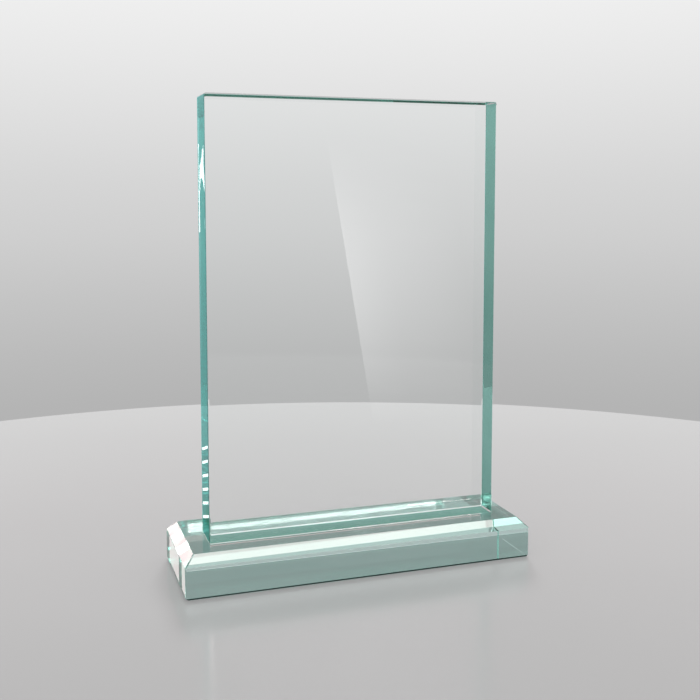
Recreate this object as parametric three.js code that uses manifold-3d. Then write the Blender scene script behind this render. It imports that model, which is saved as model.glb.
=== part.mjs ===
// A free-standing award of polished float glass: one upright clear panel bonded, on its lower edge,
// to the top of a bevelled glass block. Both are sawn from the same 19 mm stock.
//
// Millimetres, +Z up, +X along the length of the block. The face that is read looks along -Y.
// The origin is the middle of the block's underside, on the surface that the award stands on.

import * as THREE from 'three';
import * as BufferGeometryUtils from 'three/addons/utils/BufferGeometryUtils.js';
import Module from 'manifold-3d';

// ---------------------------------------------------------------- driving dimensions

const STOCK = 19;              // thickness of the glass that both pieces are cut from
const AWARD_HEIGHT = 217.2;    // underside of the base to the top of the panel

const BASE_LENGTH = 165;
const BASE_DEPTH = 54.5;
const BASE_BEVEL = 4.4;        // 45 degree polished bevel round the top of the base

const PANEL_WIDTH = 138.5;
const PANEL_SETBACK = 13;      // front face of the base to the front face of the panel

const ARRIS = 0.5;             // 45 degree safety chamfer on every other edge of the glass
const BOND_THICKNESS = 0.15;   // cured adhesive between the panel and the base

// ---------------------------------------------------------------- derived dimensions

const PANEL_FOOT = STOCK + BOND_THICKNESS;
const PANEL_HEIGHT = AWARD_HEIGHT - PANEL_FOOT;
const PANEL_MIDDLE_Y = -BASE_DEPTH / 2 + PANEL_SETBACK + STOCK / 2;

// ---------------------------------------------------------------- materials

function jadeGlass(edgeTint) {
  return new THREE.MeshStandardMaterial({
    color: new THREE.Color(edgeTint),
    roughness: 0.03,
    metalness: 0,
    transparent: true,
    opacity: 0.35,
  });
}

function clearAdhesive() {
  return new THREE.MeshStandardMaterial({
    color: new THREE.Color('#dff2ee'),
    roughness: 0.15,
    metalness: 0,
    transparent: true,
    opacity: 0.5,
  });
}

// ---------------------------------------------------------------- shape helpers

// A rectangle centred on the origin with its four corners cut at 45 degrees.
function rectangle(width, height, corner) {
  const halfWidth = width / 2;
  const halfHeight = height / 2;
  const shape = new THREE.Shape();
  if (corner === 0) {
    shape.moveTo(-halfWidth, -halfHeight);
    shape.lineTo(halfWidth, -halfHeight);
    shape.lineTo(halfWidth, halfHeight);
    shape.lineTo(-halfWidth, halfHeight);
    return shape;
  }
  shape.moveTo(-halfWidth + corner, -halfHeight);
  shape.lineTo(halfWidth - corner, -halfHeight);
  shape.lineTo(halfWidth, -halfHeight + corner);
  shape.lineTo(halfWidth, halfHeight - corner);
  shape.lineTo(halfWidth - corner, halfHeight);
  shape.lineTo(-halfWidth + corner, halfHeight);
  shape.lineTo(-halfWidth, halfHeight - corner);
  shape.lineTo(-halfWidth, -halfHeight + corner);
  return shape;
}

// A slab from z = 0 to z = thickness, with a 45 degree chamfer round both of its faces.
function chamferedSlab(outline, thickness, chamfer) {
  const slab = new THREE.ExtrudeGeometry(outline, {
    depth: thickness - 2 * chamfer,
    bevelEnabled: true,
    bevelSegments: 1,
    bevelSize: chamfer,
    bevelThickness: chamfer,
    bevelOffset: -chamfer,
  });
  slab.translate(0, 0, chamfer);
  return slab;
}

const wasm = await Module();
wasm.setup();

function toSolid(geometry) {
  const bare = geometry.clone();
  bare.deleteAttribute('normal');
  bare.deleteAttribute('uv');
  const merged = BufferGeometryUtils.mergeVertices(bare);
  return new wasm.Manifold(new wasm.Mesh({
    numProp: 3,
    vertProperties: new Float32Array(merged.attributes.position.array),
    triVerts: new Uint32Array(merged.index.array),
  }));
}

function toGeometry(solid) {
  const mesh = solid.getMesh();
  const indexed = new THREE.BufferGeometry();
  indexed.setAttribute('position', new THREE.BufferAttribute(mesh.vertProperties, 3));
  indexed.setIndex(new THREE.BufferAttribute(mesh.triVerts, 1));
  const faceted = indexed.toNonIndexed();
  faceted.computeVertexNormals();
  return faceted;
}

// ---------------------------------------------------------------- pieces

// The block: where a slab with the wide bevel meets a slab with the narrow arris. Each of the two
// runs past the block at its far end, so only the bevel at the top and the arris at the foot remain.
function makeBase() {
  const spare = 3 * BASE_BEVEL;
  const blankHeight = STOCK + spare;
  const bevelled = chamferedSlab(rectangle(BASE_LENGTH, BASE_DEPTH, 0), blankHeight, BASE_BEVEL);
  bevelled.translate(0, 0, -spare);
  const arrised = chamferedSlab(rectangle(BASE_LENGTH, BASE_DEPTH, ARRIS), blankHeight, ARRIS);
  const block = toSolid(bevelled).intersect(toSolid(arrised));
  const mesh = new THREE.Mesh(toGeometry(block), jadeGlass('#8fb9ae'));
  mesh.name = 'base';
  return mesh;
}

// The film of adhesive, as wide as the flat part of the panel's lower edge.
function makeBondFilm() {
  const outline = rectangle(PANEL_WIDTH - 2 * ARRIS, STOCK - 2 * ARRIS, ARRIS);
  const film = new THREE.ExtrudeGeometry(outline, { depth: BOND_THICKNESS, bevelEnabled: false });
  const mesh = new THREE.Mesh(film, clearAdhesive());
  mesh.name = 'bond_film';
  mesh.position.set(0, PANEL_MIDDLE_Y, STOCK);
  return mesh;
}

// The panel, drawn lying on its back and then stood on its lower edge.
function makePanel() {
  const slab = chamferedSlab(rectangle(PANEL_WIDTH, PANEL_HEIGHT, ARRIS), STOCK, ARRIS);
  slab.translate(0, PANEL_HEIGHT / 2, -STOCK / 2);
  slab.rotateX(Math.PI / 2);
  const mesh = new THREE.Mesh(slab, jadeGlass('#9fcfc4'));
  mesh.name = 'panel';
  mesh.position.set(0, PANEL_MIDDLE_Y, PANEL_FOOT);
  return mesh;
}

const group = new THREE.Group();
group.add(makeBase(), makeBondFilm(), makePanel());

export default group;
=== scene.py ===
import math

import bmesh
import bpy
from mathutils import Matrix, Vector, noise


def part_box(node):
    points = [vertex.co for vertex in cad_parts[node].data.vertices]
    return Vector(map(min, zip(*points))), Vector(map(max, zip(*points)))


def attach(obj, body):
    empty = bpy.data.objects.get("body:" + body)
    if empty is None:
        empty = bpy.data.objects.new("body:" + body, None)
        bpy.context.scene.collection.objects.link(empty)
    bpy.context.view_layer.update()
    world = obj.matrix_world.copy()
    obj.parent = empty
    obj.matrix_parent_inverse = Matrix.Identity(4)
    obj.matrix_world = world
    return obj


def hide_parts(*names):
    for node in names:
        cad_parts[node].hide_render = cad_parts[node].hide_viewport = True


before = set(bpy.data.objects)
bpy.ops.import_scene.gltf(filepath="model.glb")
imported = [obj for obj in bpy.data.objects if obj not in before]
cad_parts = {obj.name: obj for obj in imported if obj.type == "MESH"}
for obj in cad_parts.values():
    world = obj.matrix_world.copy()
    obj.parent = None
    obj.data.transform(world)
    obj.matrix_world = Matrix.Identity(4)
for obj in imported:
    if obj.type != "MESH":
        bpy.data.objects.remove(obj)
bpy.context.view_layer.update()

MM = 0.001
LEFT = Vector((-1, 0, 0))
RIGHT = Vector((1, 0, 0))
BACK = Vector((0, 1, 0))
UP = Vector((0, 0, 1))

# ------------------------------------------------------------------ measures read from the frame

SAME_HEIGHT = 0.01 * MM


def flat_half_width(node, height):
    """Half the X extent of a CAD node's outline at one height."""
    places = [v.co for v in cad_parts[node].data.vertices]
    return max(p.x for p in places if abs(p.z - height) < SAME_HEIGHT)


PANEL_LOW, PANEL_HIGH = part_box("panel")
BASE_LOW, BASE_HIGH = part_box("base")
FILM_LOW, FILM_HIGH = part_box("bond_film")
BASE_BEVEL = BASE_HIGH.x - flat_half_width("base", BASE_HIGH.z)
BEVEL_FOOT = BASE_HIGH.z - BASE_BEVEL
ARRIS = BASE_HIGH.x - flat_half_width("base", BASE_LOW.z)

# ------------------------------------------------------------------ camera

CAMERA_AZIMUTH = math.radians(18.74)
CAMERA_PITCH = math.radians(4.88)
CAMERA_DISTANCE = 0.4608      # along the floor, to the middle of the base
CAMERA_ASIDE = 0.00098        # to the right of the line through the middle of the base
CAMERA_HEIGHT = 0.1732
CAMERA_LENS_MM = 50.71
CAMERA_SENSOR_MM = 36
CAMERA_SHIFT = -0.1

ALONG_FLOOR = Vector((math.sin(CAMERA_AZIMUTH), math.cos(CAMERA_AZIMUTH), 0))
TO_THE_RIGHT = Vector((ALONG_FLOOR.y, -ALONG_FLOOR.x, 0))


def point(thing, way):
    """Turns a camera or a lamp to look or shine one way."""
    thing.rotation_euler = way.to_track_quat("-Z", "Y").to_euler()


def make_camera():
    data = bpy.data.cameras.new("camera")
    data.lens = CAMERA_LENS_MM
    data.sensor_width = CAMERA_SENSOR_MM
    data.shift_y = CAMERA_SHIFT
    camera = bpy.data.objects.new("camera", data)
    bpy.context.scene.collection.objects.link(camera)
    camera.location = CAMERA_ASIDE * TO_THE_RIGHT - CAMERA_DISTANCE * ALONG_FLOOR
    camera.location.z = CAMERA_HEIGHT
    point(camera, math.cos(CAMERA_PITCH) * ALONG_FLOOR - math.sin(CAMERA_PITCH) * UP)
    bpy.context.scene.camera = camera


# ------------------------------------------------------------------ mesh tools

EDGE_ROUND = 0.07 * MM        # takes the sharpness off every edge, so that it catches light
EDGE_SEGMENTS = 2
EDGE_PROFILE = 0.5            # an arc
FACING = 0.999                # the least dot product of a normal and a direction that it faces
SAME_PLACE = 1e-7             # points nearer to each other than this are one
WAVE_HEIGHT = 0.22 * MM       # how far a hand-polished end face strays from flat
WAVE_LENGTH = 12 * MM
WAVE_CELL = 2.2 * MM          # the end faces' grid
FEWEST_CELLS = 4


def link_mesh(name, bm):
    mesh = bpy.data.meshes.new(name)
    bm.to_mesh(mesh)
    bm.free()
    piece = bpy.data.objects.new(name, mesh)
    bpy.context.scene.collection.objects.link(piece)
    return piece


def outline(half_x, half_y, corner, trim=0):
    """A rectangle with cut corners, anticlockwise. The trim comes off its left and front sides."""
    left, front = -half_x + trim, -half_y + trim
    return [
        (left + corner, front), (half_x - corner, front),
        (half_x, front + corner), (half_x, half_y - corner),
        (half_x - corner, half_y), (left + corner, half_y),
        (left, half_y - corner), (left, front + corner),
    ]


def loft(bm, rings):
    """Joins rings of points, each given as (points, height), into one closed body."""
    rows = [[bm.verts.new((x, y, z)) for x, y in points] for points, z in rings]
    count = len(rows[0])
    for low, high in zip(rows, rows[1:]):
        for i in range(count):
            j = (i + 1) % count
            bm.faces.new((low[i], low[j], high[j], high[i]))
    bm.faces.new(list(reversed(rows[0])))
    bm.faces.new(rows[-1])


def soften(bm):
    """Rounds every edge slightly."""
    bmesh.ops.bevel(
        bm, geom=bm.edges[:], affect="EDGES",
        offset=EDGE_ROUND, segments=EDGE_SEGMENTS, profile=EDGE_PROFILE,
    )
    bm.normal_update()


def faces_towards(bm, way):
    return [f for f in bm.faces if f.normal.dot(way) > FACING]


def cut(bm, faces, place, across):
    """Cuts only these faces along one plane, and returns the pieces."""
    pieces = set(faces)
    edges = {e for f in faces for e in f.edges}
    corners = {v for f in faces for v in f.verts}
    geom = faces + list(edges) + list(corners)
    done = bmesh.ops.bisect_plane(bm, geom=geom, plane_co=place, plane_no=across, dist=SAME_PLACE)
    pieces |= {g for g in done["geom"] if isinstance(g, bmesh.types.BMFace)}
    return [f for f in pieces if f.is_valid]


def ripple_end(bm, way, seed):
    """Gives a flat end face the slight waves that polishing by hand leaves, more of them higher up.

    They only sink into the glass, and the face's outline stays put.
    """
    faces = faces_towards(bm, way)
    places = [v.co for f in faces for v in f.verts]
    low = Vector([min(p[axis] for p in places) for axis in range(3)])
    high = Vector([max(p[axis] for p in places) for axis in range(3)])
    for across in (BACK, UP):
        count = max(FEWEST_CELLS, round((high - low).dot(across) / WAVE_CELL))
        for step in range(1, count):
            faces = cut(bm, faces, low.lerp(high, step / count), across)
    inner = {v for f in faces for v in f.verts if all(near in faces for near in v.link_faces)}
    for v in inner:
        spot = Vector((seed, v.co.y / WAVE_LENGTH, v.co.z / WAVE_LENGTH))
        rise = (v.co.z - low.z) / (high.z - low.z)
        v.co -= way * WAVE_HEIGHT * rise * rise * max(0.0, noise.noise(spot))
    for f in faces:
        f.smooth = True


# ------------------------------------------------------------------ tints and painted shade

# The share of each colour that a face lets through, partly the glass's own green and partly painted light
# and shade. Seen end on, the glass is far greener than across.
CLEAR = (1, 1, 1)
# The panel's end and top tints stand partly for that green and partly for painted light and shade: the
# right end is painted darker than the left, for how the light falls.
PANEL_RIGHT_GREEN_AND_SHADE = (0.235, 0.51, 0.45)
PANEL_LEFT_GREEN_AND_LIGHT = (0.53, 1.0, 1.0)
PANEL_TOP_GREEN_AND_SHADE = (0.40, 0.72, 0.66)
# Painted shade: the base's underside is darkened and greened for the shaded floor under the base.
BASE_FOOT_PAINTED_SHADE = (0.64, 0.82, 0.78)
# Painted shadow: the dark line along the foot where the base stands.
BASE_ARRIS_PAINTED_SHADOW = (0.04, 0.06, 0.055)
FILM_TINT = (0.64, 0.83, 0.78)
MOSTLY = 0.9                  # how far a normal leans, at least, towards the side that its face belongs to
SLANTED = 0.3                 # how far an arris's normal leans, at least, towards each side that it joins


def paint(bm, tint_and_shade_of, bonded):
    """Stores each face's tint, partly painted light and shade, and in its alpha whether adhesive wets it.
    """
    layer = bm.loops.layers.float_color.new("tint_shade_and_bond")
    for f in bm.faces:
        colour = (*tint_and_shade_of(f), 1.0 if bonded(f) else 0.0)
        for loop in f.loops:
            loop[layer] = colour


# The ends and the top: green as glass is end on, with painted light and shade that makes the right end
# darker than the left.
def panel_green_and_shade(face):
    if face.normal.x > MOSTLY:
        return PANEL_RIGHT_GREEN_AND_SHADE
    if face.normal.x < -MOSTLY:
        return PANEL_LEFT_GREEN_AND_LIGHT
    if face.normal.z > MOSTLY:
        return PANEL_TOP_GREEN_AND_SHADE
    return CLEAR


def panel_bonded(face):
    return face.normal.z < -FACING


def base_painted_shade(face):
    """Painted shade: the underside is darker for the shaded floor under the base, and the arris along the
    foot of the front and the left end is a painted shadow, the dark line that the base stands on.
    """
    if face.normal.z < -FACING:
        return BASE_FOOT_PAINTED_SHADE
    if face.normal.z < -SLANTED and min(face.normal.x, face.normal.y) < -SLANTED:
        return BASE_ARRIS_PAINTED_SHADOW
    return CLEAR


def base_bonded(face):
    place = face.calc_center_median()
    in_film = FILM_LOW.x < place.x < FILM_HIGH.x and FILM_LOW.y < place.y < FILM_HIGH.y
    return face.normal.z > FACING and in_film


def film_bonded(face):
    return abs(face.normal.z) > FACING


# ------------------------------------------------------------------ the award's pieces

# The foot arris carries the painted shadow line along the foot.
FOOT_ARRIS = 1.2 * MM         # along the foot of the front and of the left end
FILM_GAP = 0.02 * MM          # between the film and the glass above and below it
LEFT_SEED = 1.5               # each end takes its waves from its own part of the noise
RIGHT_SEED = 4.5


def make_panel():
    bm = bmesh.new()
    bmesh.ops.create_cube(bm, size=1)
    bmesh.ops.scale(bm, vec=PANEL_HIGH - PANEL_LOW, verts=bm.verts)
    bmesh.ops.bevel(bm, geom=bm.edges[:], offset=ARRIS, segments=1, affect="EDGES")
    soften(bm)
    bmesh.ops.translate(bm, vec=(PANEL_HIGH + PANEL_LOW) / 2, verts=bm.verts)
    ripple_end(bm, LEFT, LEFT_SEED)
    ripple_end(bm, RIGHT, RIGHT_SEED)
    paint(bm, panel_green_and_shade, panel_bonded)
    return link_mesh("panel_glass", bm)


def make_base():
    """The base. Its top is cut along the film's outline, so that the bonded part can be painted apart."""
    half_x, half_y, top = BASE_HIGH
    bm = bmesh.new()
    loft(bm, [
        (outline(half_x, half_y, ARRIS, FOOT_ARRIS), 0),
        (outline(half_x, half_y, ARRIS), FOOT_ARRIS),
        (outline(half_x, half_y, ARRIS), BEVEL_FOOT),
        (outline(half_x - BASE_BEVEL, half_y - BASE_BEVEL, ARRIS), top),
    ])
    soften(bm)
    faces = faces_towards(bm, UP)
    for corner in (FILM_LOW, FILM_HIGH):
        for across in (RIGHT, BACK):
            faces = cut(bm, faces, corner, across)
    paint(bm, base_painted_shade, base_bonded)
    return link_mesh("base_glass", bm)


def make_film():
    """The adhesive's film. Its outline has square corners, so the points that meet there are merged."""
    ring = outline(FILM_HIGH.x, (FILM_HIGH.y - FILM_LOW.y) / 2, 0)
    bm = bmesh.new()
    loft(bm, [(ring, FILM_LOW.z + FILM_GAP), (ring, FILM_HIGH.z - FILM_GAP)])
    bmesh.ops.remove_doubles(bm, verts=bm.verts, dist=SAME_PLACE)
    bmesh.ops.dissolve_degenerate(bm, edges=bm.edges, dist=SAME_PLACE)
    bmesh.ops.translate(bm, vec=(0, (FILM_HIGH.y + FILM_LOW.y) / 2, 0), verts=bm.verts)
    bm.normal_update()
    paint(bm, lambda face: FILM_TINT, film_bonded)
    return link_mesh("bond", bm)


# ------------------------------------------------------------------ material tools


def new_material(name):
    material = bpy.data.materials.new(name)
    material.use_nodes = True
    material.node_tree.nodes.clear()
    return material, material.node_tree


def add_node(tree, kind, inputs, **settings):
    """Adds a shader node. Each input is a number, a colour, a vector or another node's output."""
    node = tree.nodes.new("ShaderNode" + kind)
    for name, value in settings.items():
        setattr(node, name, value)
    for name, value in inputs.items():
        if isinstance(value, bpy.types.NodeSocket):
            tree.links.new(value, node.inputs[name])
        else:
            node.inputs[name].default_value = value
    return node


def noise_over(tree, place, scale, detail=2.0):
    node = add_node(tree, "TexNoise", {"Vector": place, "Scale": scale, "Detail": detail})
    return node.outputs["Fac"]


def stretch(tree, value, source, target=(0.0, 1.0)):
    """Carries a value from one range over to another, and stops it at both ends."""
    ends = {"From Min": source[0], "From Max": source[1], "To Min": target[0], "To Max": target[1]}
    return add_node(tree, "MapRange", {"Value": value, **ends}).outputs["Result"]


def product(tree, first, second):
    return add_node(tree, "Math", {0: first, 1: second}, operation="MULTIPLY").outputs[0]


def blend(tree, share, first, second):
    """A colour between two others."""
    node = add_node(tree, "Mix", {"Factor": share, "A": first, "B": second}, data_type="RGBA")
    return node.outputs["Result"]


def along_floor(tree, place):
    """How far a place or a direction reaches along ALONG_FLOOR."""
    node = add_node(tree, "VectorMath", {0: place, 1: ALONG_FLOOR}, operation="DOT_PRODUCT")
    return node.outputs["Value"]


def ramp(tree, value, stops):
    """Looks a value up in a list of (value, level)."""
    node = add_node(tree, "ValToRGB", {"Fac": value})
    elements = node.color_ramp.elements
    while len(elements) < len(stops):
        elements.new(0.5)     # each moves to its own place below
    for element, (place, level) in zip(elements, stops):
        element.position = place
        element.color = (level, level, level, 1)
    return node.outputs["Color"]


# ------------------------------------------------------------------ glass and adhesive

GLASS_IOR = 1.52
BONDED_IOR = 1.0              # light passes straight on where adhesive wets the glass
GLASS_COLOUR = (0.0, 0.72, 0.62)
PANEL_DENSITY = 1.0
BASE_DENSITY = 5.0
ADHESIVE_COLOUR = (0.5, 0.8, 0.8)
ADHESIVE_DENSITY = 1.0
CLOUD_SCALE = 22              # patches where the tint is a little deeper or paler
CLOUD_RANGE = (0.3, 0.7)
CLOUD_DEPTH = (0.92, 1.10)
SMUDGE_SCALE = 60             # a few small smudges, where the noise is highest
SMUDGE_DETAIL = 6
SMUDGE_RANGE = (0.68, 0.69)
SMUDGE_ROUGHNESS = (0.0, 0.02)
SWELL_SCALE = 35              # the faces are not quite flat
SWELL_HEIGHT = 0.002 * MM


def glass(name, absorption, density):
    """Polished glass, with the tints, painted light and shade, and the bonded faces that are painted on the
    mesh.
    """
    material, tree = new_material(name)
    place = add_node(tree, "TexCoord", {}).outputs["Object"]
    tint_shade_and_bond = add_node(tree, "Attribute", {}, attribute_name="tint_shade_and_bond").outputs
    depth = stretch(tree, noise_over(tree, place, CLOUD_SCALE), CLOUD_RANGE, CLOUD_DEPTH)
    tint = add_node(tree, "Gamma", {"Color": tint_shade_and_bond["Color"], "Gamma": depth})
    ior = stretch(tree, tint_shade_and_bond["Alpha"], (0.0, 1.0), (GLASS_IOR, BONDED_IOR))
    smudge = noise_over(tree, place, SMUDGE_SCALE, SMUDGE_DETAIL)
    swell = noise_over(tree, place, SWELL_SCALE)
    bump = add_node(tree, "Bump", {"Strength": 1.0, "Distance": SWELL_HEIGHT, "Height": swell})
    shader = add_node(tree, "BsdfGlass", {
        "Color": tint.outputs["Color"],
        "Roughness": stretch(tree, smudge, SMUDGE_RANGE, SMUDGE_ROUGHNESS),
        "IOR": GLASS_IOR,     # stays on the socket for an export that drops the link below
        "Normal": bump.outputs["Normal"],
    })
    tree.links.new(ior, shader.inputs["IOR"])
    volume = add_node(tree, "VolumeAbsorption", {"Color": (*absorption, 1), "Density": density})
    add_node(tree, "OutputMaterial", {"Surface": shader.outputs[0], "Volume": volume.outputs[0]})
    return material


# ------------------------------------------------------------------ floor and sky

BLACK = (0, 0, 0, 1)
FLOOR_DROP = 0.15 * MM        # below the foot of the base
FLOOR_RADIUS = 0.51
FLOOR_NEARER = 0.145          # how far its middle lies in front of the award
FLOOR_SEGMENTS = 256
FLOOR_STRETCH = (-0.15, 0.37)   # the stretch of floor, along ALONG_FLOOR, that the stops cover
# Painted light: the floor's brightness along the view, darker in front of the award and brightest just
# behind it, painted into its colour and its glow.
FLOOR_PAINTED_LIGHT_STOPS = [
    (0.0, 0.404), (0.07, 0.420), (0.17, 0.442), (0.295, 0.462),
    (0.47, 0.463), (0.73, 0.437), (1.0, 0.437),
]
FLOOR_ROUGHNESS = 0.16
FLOOR_SELF_LIT = 0.6          # the share of the floor's colour that its own light stands in for
FLOOR_EMISSION = 0.515        # how strong that light is, which the award can't shade

# The sky's light by the sine of the elevation, and the wall's share of it.
SKY_STRENGTH = 1.5            # colours stop at 1, so they are divided by this
SKY_STOPS = [
    (-1.0, 0.40), (-0.2068, 0.4539), (-0.1541, 0.4969), (-0.0979, 0.5552), (-0.0405, 0.6206),
    (0.0173, 0.6724), (0.0747, 0.7379), (0.131, 0.803), (0.189, 0.8632), (0.235, 0.88),
    (0.30, 1.3), (1.0, 1.3),
]
WALL_STOPS = [(0.0, 0.0), (0.235, 0.0), (0.28, 1.0), (0.5, 1.0), (0.56, 0.0), (1.0, 0.0)]
WALL_COLOUR = (0.485, 0.42, 0.43)
WALL_FADE = (0.42, 0.56)      # where the wall starts and is full, along ALONG_FLOOR


def floor_material():
    material, tree = new_material("floor")
    place = add_node(tree, "TexCoord", {}).outputs["Object"]
    colour = ramp(tree, stretch(tree, along_floor(tree, place), FLOOR_STRETCH), FLOOR_PAINTED_LIGHT_STOPS)
    shader = add_node(tree, "BsdfPrincipled", {
        "Base Color": blend(tree, FLOOR_SELF_LIT, colour, BLACK),
        "Roughness": FLOOR_ROUGHNESS,
        "Emission Color": colour,
        "Emission Strength": FLOOR_EMISSION,
    })
    add_node(tree, "OutputMaterial", {"Surface": shader.outputs[0]})
    return material


def make_floor():
    """A round pale table top, with painted light along the view."""
    bm = bmesh.new()
    bmesh.ops.create_circle(bm, cap_ends=True, segments=FLOOR_SEGMENTS, radius=FLOOR_RADIUS)
    bmesh.ops.translate(bm, vec=-FLOOR_NEARER * ALONG_FLOOR - FLOOR_DROP * UP, verts=bm.verts)
    floor = link_mesh("floor", bm)
    floor.data.materials.append(floor_material())
    return floor


def make_world():
    """A pale sky, with a duller wall behind the award, higher than the camera sees."""
    world = bpy.data.worlds.new("studio")
    bpy.context.scene.world = world
    world.use_nodes = True
    tree = world.node_tree
    tree.nodes.clear()
    way = add_node(tree, "TexCoord", {}).outputs["Generated"]
    height = add_node(tree, "SeparateXYZ", {0: way}).outputs["Z"]
    stops = [((z + 1) / 2, level / SKY_STRENGTH) for z, level in SKY_STOPS]
    sky = ramp(tree, stretch(tree, height, (-1.0, 1.0)), stops)
    behind = stretch(tree, along_floor(tree, way), WALL_FADE)
    share = product(tree, ramp(tree, height, WALL_STOPS), behind)
    wall = (*[c / SKY_STRENGTH for c in WALL_COLOUR], 1)
    light = add_node(tree, "Background", {"Color": blend(tree, share, sky, wall), "Strength": SKY_STRENGTH})
    add_node(tree, "OutputWorld", {"Surface": light.outputs[0]})


# ------------------------------------------------------------------ light cards

CARD_DISTANCE = 6.0
PATCH_STEP = 8                # degrees of bearing
PATCH_HEIGHT = 0.2 * MM       # of the patches just above the floor that the left ends mirror
NO_BOUNCE = 0.5               # light with fewer diffuse bounces than this has had none
WHITE = (1.0, 1.0, 1.0)
WARM = (1.0, 0.86, 0.86)
GLINT = (1.0, 0.53, 0.53)     # white once the left end's tint has taken its red

GLARE_Y = -0.28               # in front of the panel
GLARE_TOP = (0.0685, 0.215)   # the slanting edge's upper end, as x and z
GLARE_FOOT = (0.1052, 0.002)
GLARE_WIDTH = 0.095
GLARE_ROWS = 12
GLARE_SWELL = 1.3             # how quickly its brightness grows towards its middle row
GLARE_FADE = ((0.0, 1.0), (0.35, 0.5), (1.0, 0.0))

BEVEL_CARD_GAP = 5 * MM       # behind the base
BEVEL_CARD_EDGES = (2 * MM, 8 * MM)   # above the foot of the bevel
END_FOOT = 2.2 * MM           # where the left end's reflections start
END_SPANS = ((BASE_LOW.y, -18 * MM), (-10 * MM, 18 * MM))   # by Y, with a green stripe between them

DASHES = 7                    # short bright lines across the panel's left end
DASH_LOW = 25 * MM
DASH_STEP = 6.3 * MM
DASH_HEIGHT = 1.3 * MM
DASH_SLOPE = 0.305            # how fast they fall towards the back


def card_material(name, colour, strength, solid):
    """Light that adds to what is behind the card, or replaces it where the card is solid.

    A path that has been scattered by the floor sees none of it, so the cards don't light the floor.
    """
    material, tree = new_material(name)
    depth = add_node(tree, "LightPath", {}).outputs["Diffuse Depth"]
    direct = add_node(tree, "Math", {0: depth, 1: NO_BOUNCE}, operation="LESS_THAN").outputs[0]
    level = add_node(tree, "Attribute", {}, attribute_name="level").outputs["Fac"]
    power = product(tree, product(tree, direct, strength), level)
    glow = add_node(tree, "Emission", {"Color": (*colour, 1), "Strength": power}).outputs[0]
    if not solid:
        clear = add_node(tree, "BsdfTransparent", {}).outputs[0]
        glow = add_node(tree, "AddShader", {0: glow, 1: clear}).outputs[0]
    add_node(tree, "OutputMaterial", {"Surface": glow})
    return material


def group_of(name, pieces):
    group = bpy.data.collections.new(name)
    for piece in pieces:
        group.objects.link(piece)
    return group


def make_card(name, rows, colour, strength, glints, receivers=(), solid=False):
    """A lit card that only the award's glass shows: as glints off it, or through it.

    Each row is a list of (place, level), and the level is the share of the strength there.
    """
    bm = bmesh.new()
    layer = bm.verts.layers.float.new("level")
    lines = []
    for row in rows:
        line = [bm.verts.new(place) for place, level in row]
        for v, (place, level) in zip(line, row):
            v[layer] = level
        lines.append(line)
    for low, high in zip(lines, lines[1:]):
        for i in range(len(low) - 1):
            bm.faces.new((low[i], low[i + 1], high[i + 1], high[i]))
    card = link_mesh(name, bm)
    card.data.materials.append(card_material(name, colour, strength, solid))
    card.visible_camera = False
    card.visible_diffuse = False
    card.visible_shadow = False
    card.visible_glossy = glints
    card.visible_transmission = not glints
    if receivers:
        card.light_linking.receiver_collection = group_of(name + "_receivers", receivers)


def from_award(bearing, elevation):
    """A place seen from the award. Bearings turn from behind it, 0, to its right, 90. In degrees."""
    b, e = math.radians(bearing), math.radians(elevation)
    return CARD_DISTANCE * Vector((math.sin(b) * math.cos(e), math.cos(b) * math.cos(e), math.sin(e)))


def sky_patch(bearings, elevations):
    """A card curved round the award, its lower and upper edges each at one elevation."""
    first, last = bearings
    steps = max(1, round((last - first) / PATCH_STEP))
    turns = [first + (last - first) * i / steps for i in range(steps + 1)]
    return [[(from_award(turn, elevation), 1.0) for turn in turns] for elevation in elevations]


def upright(y, xs, zs):
    return [[(Vector((x, y, z)), 1.0) for x in xs] for z in zs]


def end_glint(x, ys, zs, slope=0.0):
    """The patch just above the floor that part of a left end face, by its Y and Z, mirrors to the camera.

    The slope is how fast the part falls away towards the back.
    """
    eye = bpy.context.scene.camera.location
    rows = []
    for z in zs:
        row = []
        for y in ys:
            spot = Vector((x, y, z - slope * (y - ys[0])))
            way = (spot - eye) * Vector((-1, 1, 1))
            row.append((spot + way * ((PATCH_HEIGHT - spot.z) / way.z), 1.0))
        rows.append(row)
    return rows


def glare_rows():
    """Brightest half way down its sharp slanting edge, and fading away from there."""
    rows = []
    for step in range(GLARE_ROWS + 1):
        t = step / GLARE_ROWS
        x = GLARE_TOP[0] + (GLARE_FOOT[0] - GLARE_TOP[0]) * t
        z = GLARE_TOP[1] + (GLARE_FOOT[1] - GLARE_TOP[1]) * t
        level = max(0.0, math.sin(math.pi * t)) ** GLARE_SWELL
        row = [(Vector((x + share * GLARE_WIDTH, GLARE_Y, z)), level * fade) for share, fade in GLARE_FADE]
        rows.append(row)
    return rows


def make_far_cards(panel, base):
    """Cards as far off as the walls of a studio."""
    # Shows through the foot of the panel as a white strip. Its top edge sets how wide the strip is.
    make_card(
        "front_card", upright(y=-CARD_DISTANCE, xs=(-3.4, 3.4), zs=(1.60, 2.115)),
        colour=(1.0, 0.74, 0.76), strength=9, glints=False, receivers=(panel,),
    )
    # Fills the base's front bevel. It is solid, because the sky behind it would make the bevel too bright.
    make_card(
        "back_card", sky_patch(bearings=(-30, 62), elevations=(38, 62)),
        colour=(1.0, 0.65, 0.67), strength=1.52, glints=False, solid=True,
    )
    # Lights the glass from high up behind its right end.
    make_card(
        "side_card", sky_patch(bearings=(40, 80), elevations=(22, 42)),
        colour=WARM, strength=4, glints=False,
    )
    # A glint off the base's left bevel.
    make_card(
        "left_card", sky_patch(bearings=(-34, -14), elevations=(3, 13)),
        colour=WARM, strength=5, glints=True, receivers=(base,),
    )
    # Glints off the waves in the panel's left end.
    make_card(
        "glint_card", sky_patch(bearings=(-10.75, -7.5), elevations=(-0.6, 4.8)),
        colour=GLINT, strength=5, glints=True, receivers=(panel,),
    )


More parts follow.
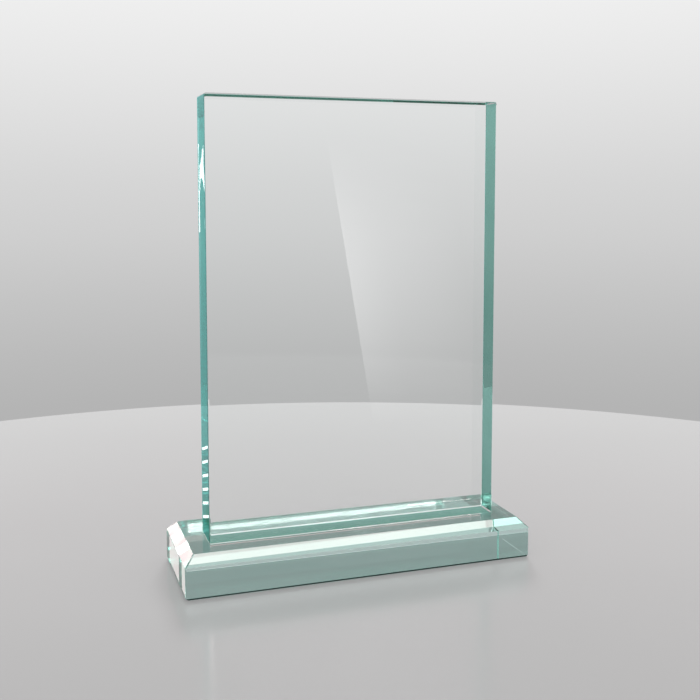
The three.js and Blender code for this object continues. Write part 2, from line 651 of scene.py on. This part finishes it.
def make_near_cards(panel, base):
    """Cards close to the award: the glare on the panel's front, and small ones for its edges."""
    make_card("glare_card", glare_rows(), colour=WHITE, strength=3.2, glints=True, receivers=(panel,))
    edges = [BEVEL_FOOT + edge for edge in BEVEL_CARD_EDGES]
    make_card(
        "bevel_card", upright(BASE_HIGH.y + BEVEL_CARD_GAP, (BASE_LOW.x, BASE_HIGH.x), edges),
        colour=WARM, strength=0.40, glints=False, receivers=(base,),
    )
    for number, span in enumerate(END_SPANS):
        make_card(
            "end_card_%d" % number, end_glint(BASE_LOW.x, span, (END_FOOT, BEVEL_FOOT)),
            colour=WARM, strength=1.1, glints=True, receivers=(base,),
        )
    depths = (PANEL_LOW.y, PANEL_HIGH.y)
    for number in range(DASHES):
        z = DASH_LOW + number * DASH_STEP
        make_card(
            "dash_card_%d" % number, end_glint(PANEL_LOW.x, depths, (z, z + DASH_HEIGHT), DASH_SLOPE),
            colour=GLINT, strength=5, glints=True, receivers=(panel,),
        )


# ------------------------------------------------------------------ lamp and render settings

LAMP_STRENGTH = 2.7
LAMP_SPREAD = math.radians(14)
LAMP_ELEVATION = math.radians(27)
GLASS_BOUNCES = 48
GLINT_BOUNCES = 32


def make_back_light(floor, base):
    """A low light behind the award, which casts only the base's short shadow, towards the camera."""
    data = bpy.data.lights.new("back_light", "SUN")
    data.energy = LAMP_STRENGTH
    data.angle = LAMP_SPREAD
    lamp = bpy.data.objects.new("back_light", data)
    bpy.context.scene.collection.objects.link(lamp)
    point(lamp, -math.cos(LAMP_ELEVATION) * ALONG_FLOOR - math.sin(LAMP_ELEVATION) * UP)
    lamp.visible_glossy = False
    lamp.visible_transmission = False
    lamp.light_linking.receiver_collection = group_of("back_light_receivers", (floor,))
    lamp.light_linking.blocker_collection = group_of("back_light_blockers", (base,))


def set_render():
    """Plain colours, and enough bounces for light to find its way out of the glass."""
    scene = bpy.context.scene
    scene.view_settings.view_transform = "Standard"
    scene.cycles.max_bounces = GLASS_BOUNCES
    scene.cycles.transmission_bounces = GLASS_BOUNCES
    scene.cycles.glossy_bounces = GLINT_BOUNCES
    scene.cycles.transparent_max_bounces = GLINT_BOUNCES
    scene.cycles.use_denoising = True


# ------------------------------------------------------------------ the scene

make_camera()
panel = make_panel()
base = make_base()
film = make_film()
panel.data.materials.append(glass("panel_glass", GLASS_COLOUR, PANEL_DENSITY))
base.data.materials.append(glass("base_glass", GLASS_COLOUR, BASE_DENSITY))
film.data.materials.append(glass("adhesive", ADHESIVE_COLOUR, ADHESIVE_DENSITY))
PIECES = (
    (panel, "panel", "panel_glass"),
    (base, "base", "base_glass"),
    (film, "bond_film", "adhesive"),
)
for piece, node, slot in PIECES:
    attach(piece, "root")
    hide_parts(node)
floor = make_floor()
make_world()
make_far_cards(panel, base)
make_near_cards(panel, base)
make_back_light(floor, base)
set_render()

bpy.context.view_layer.update()
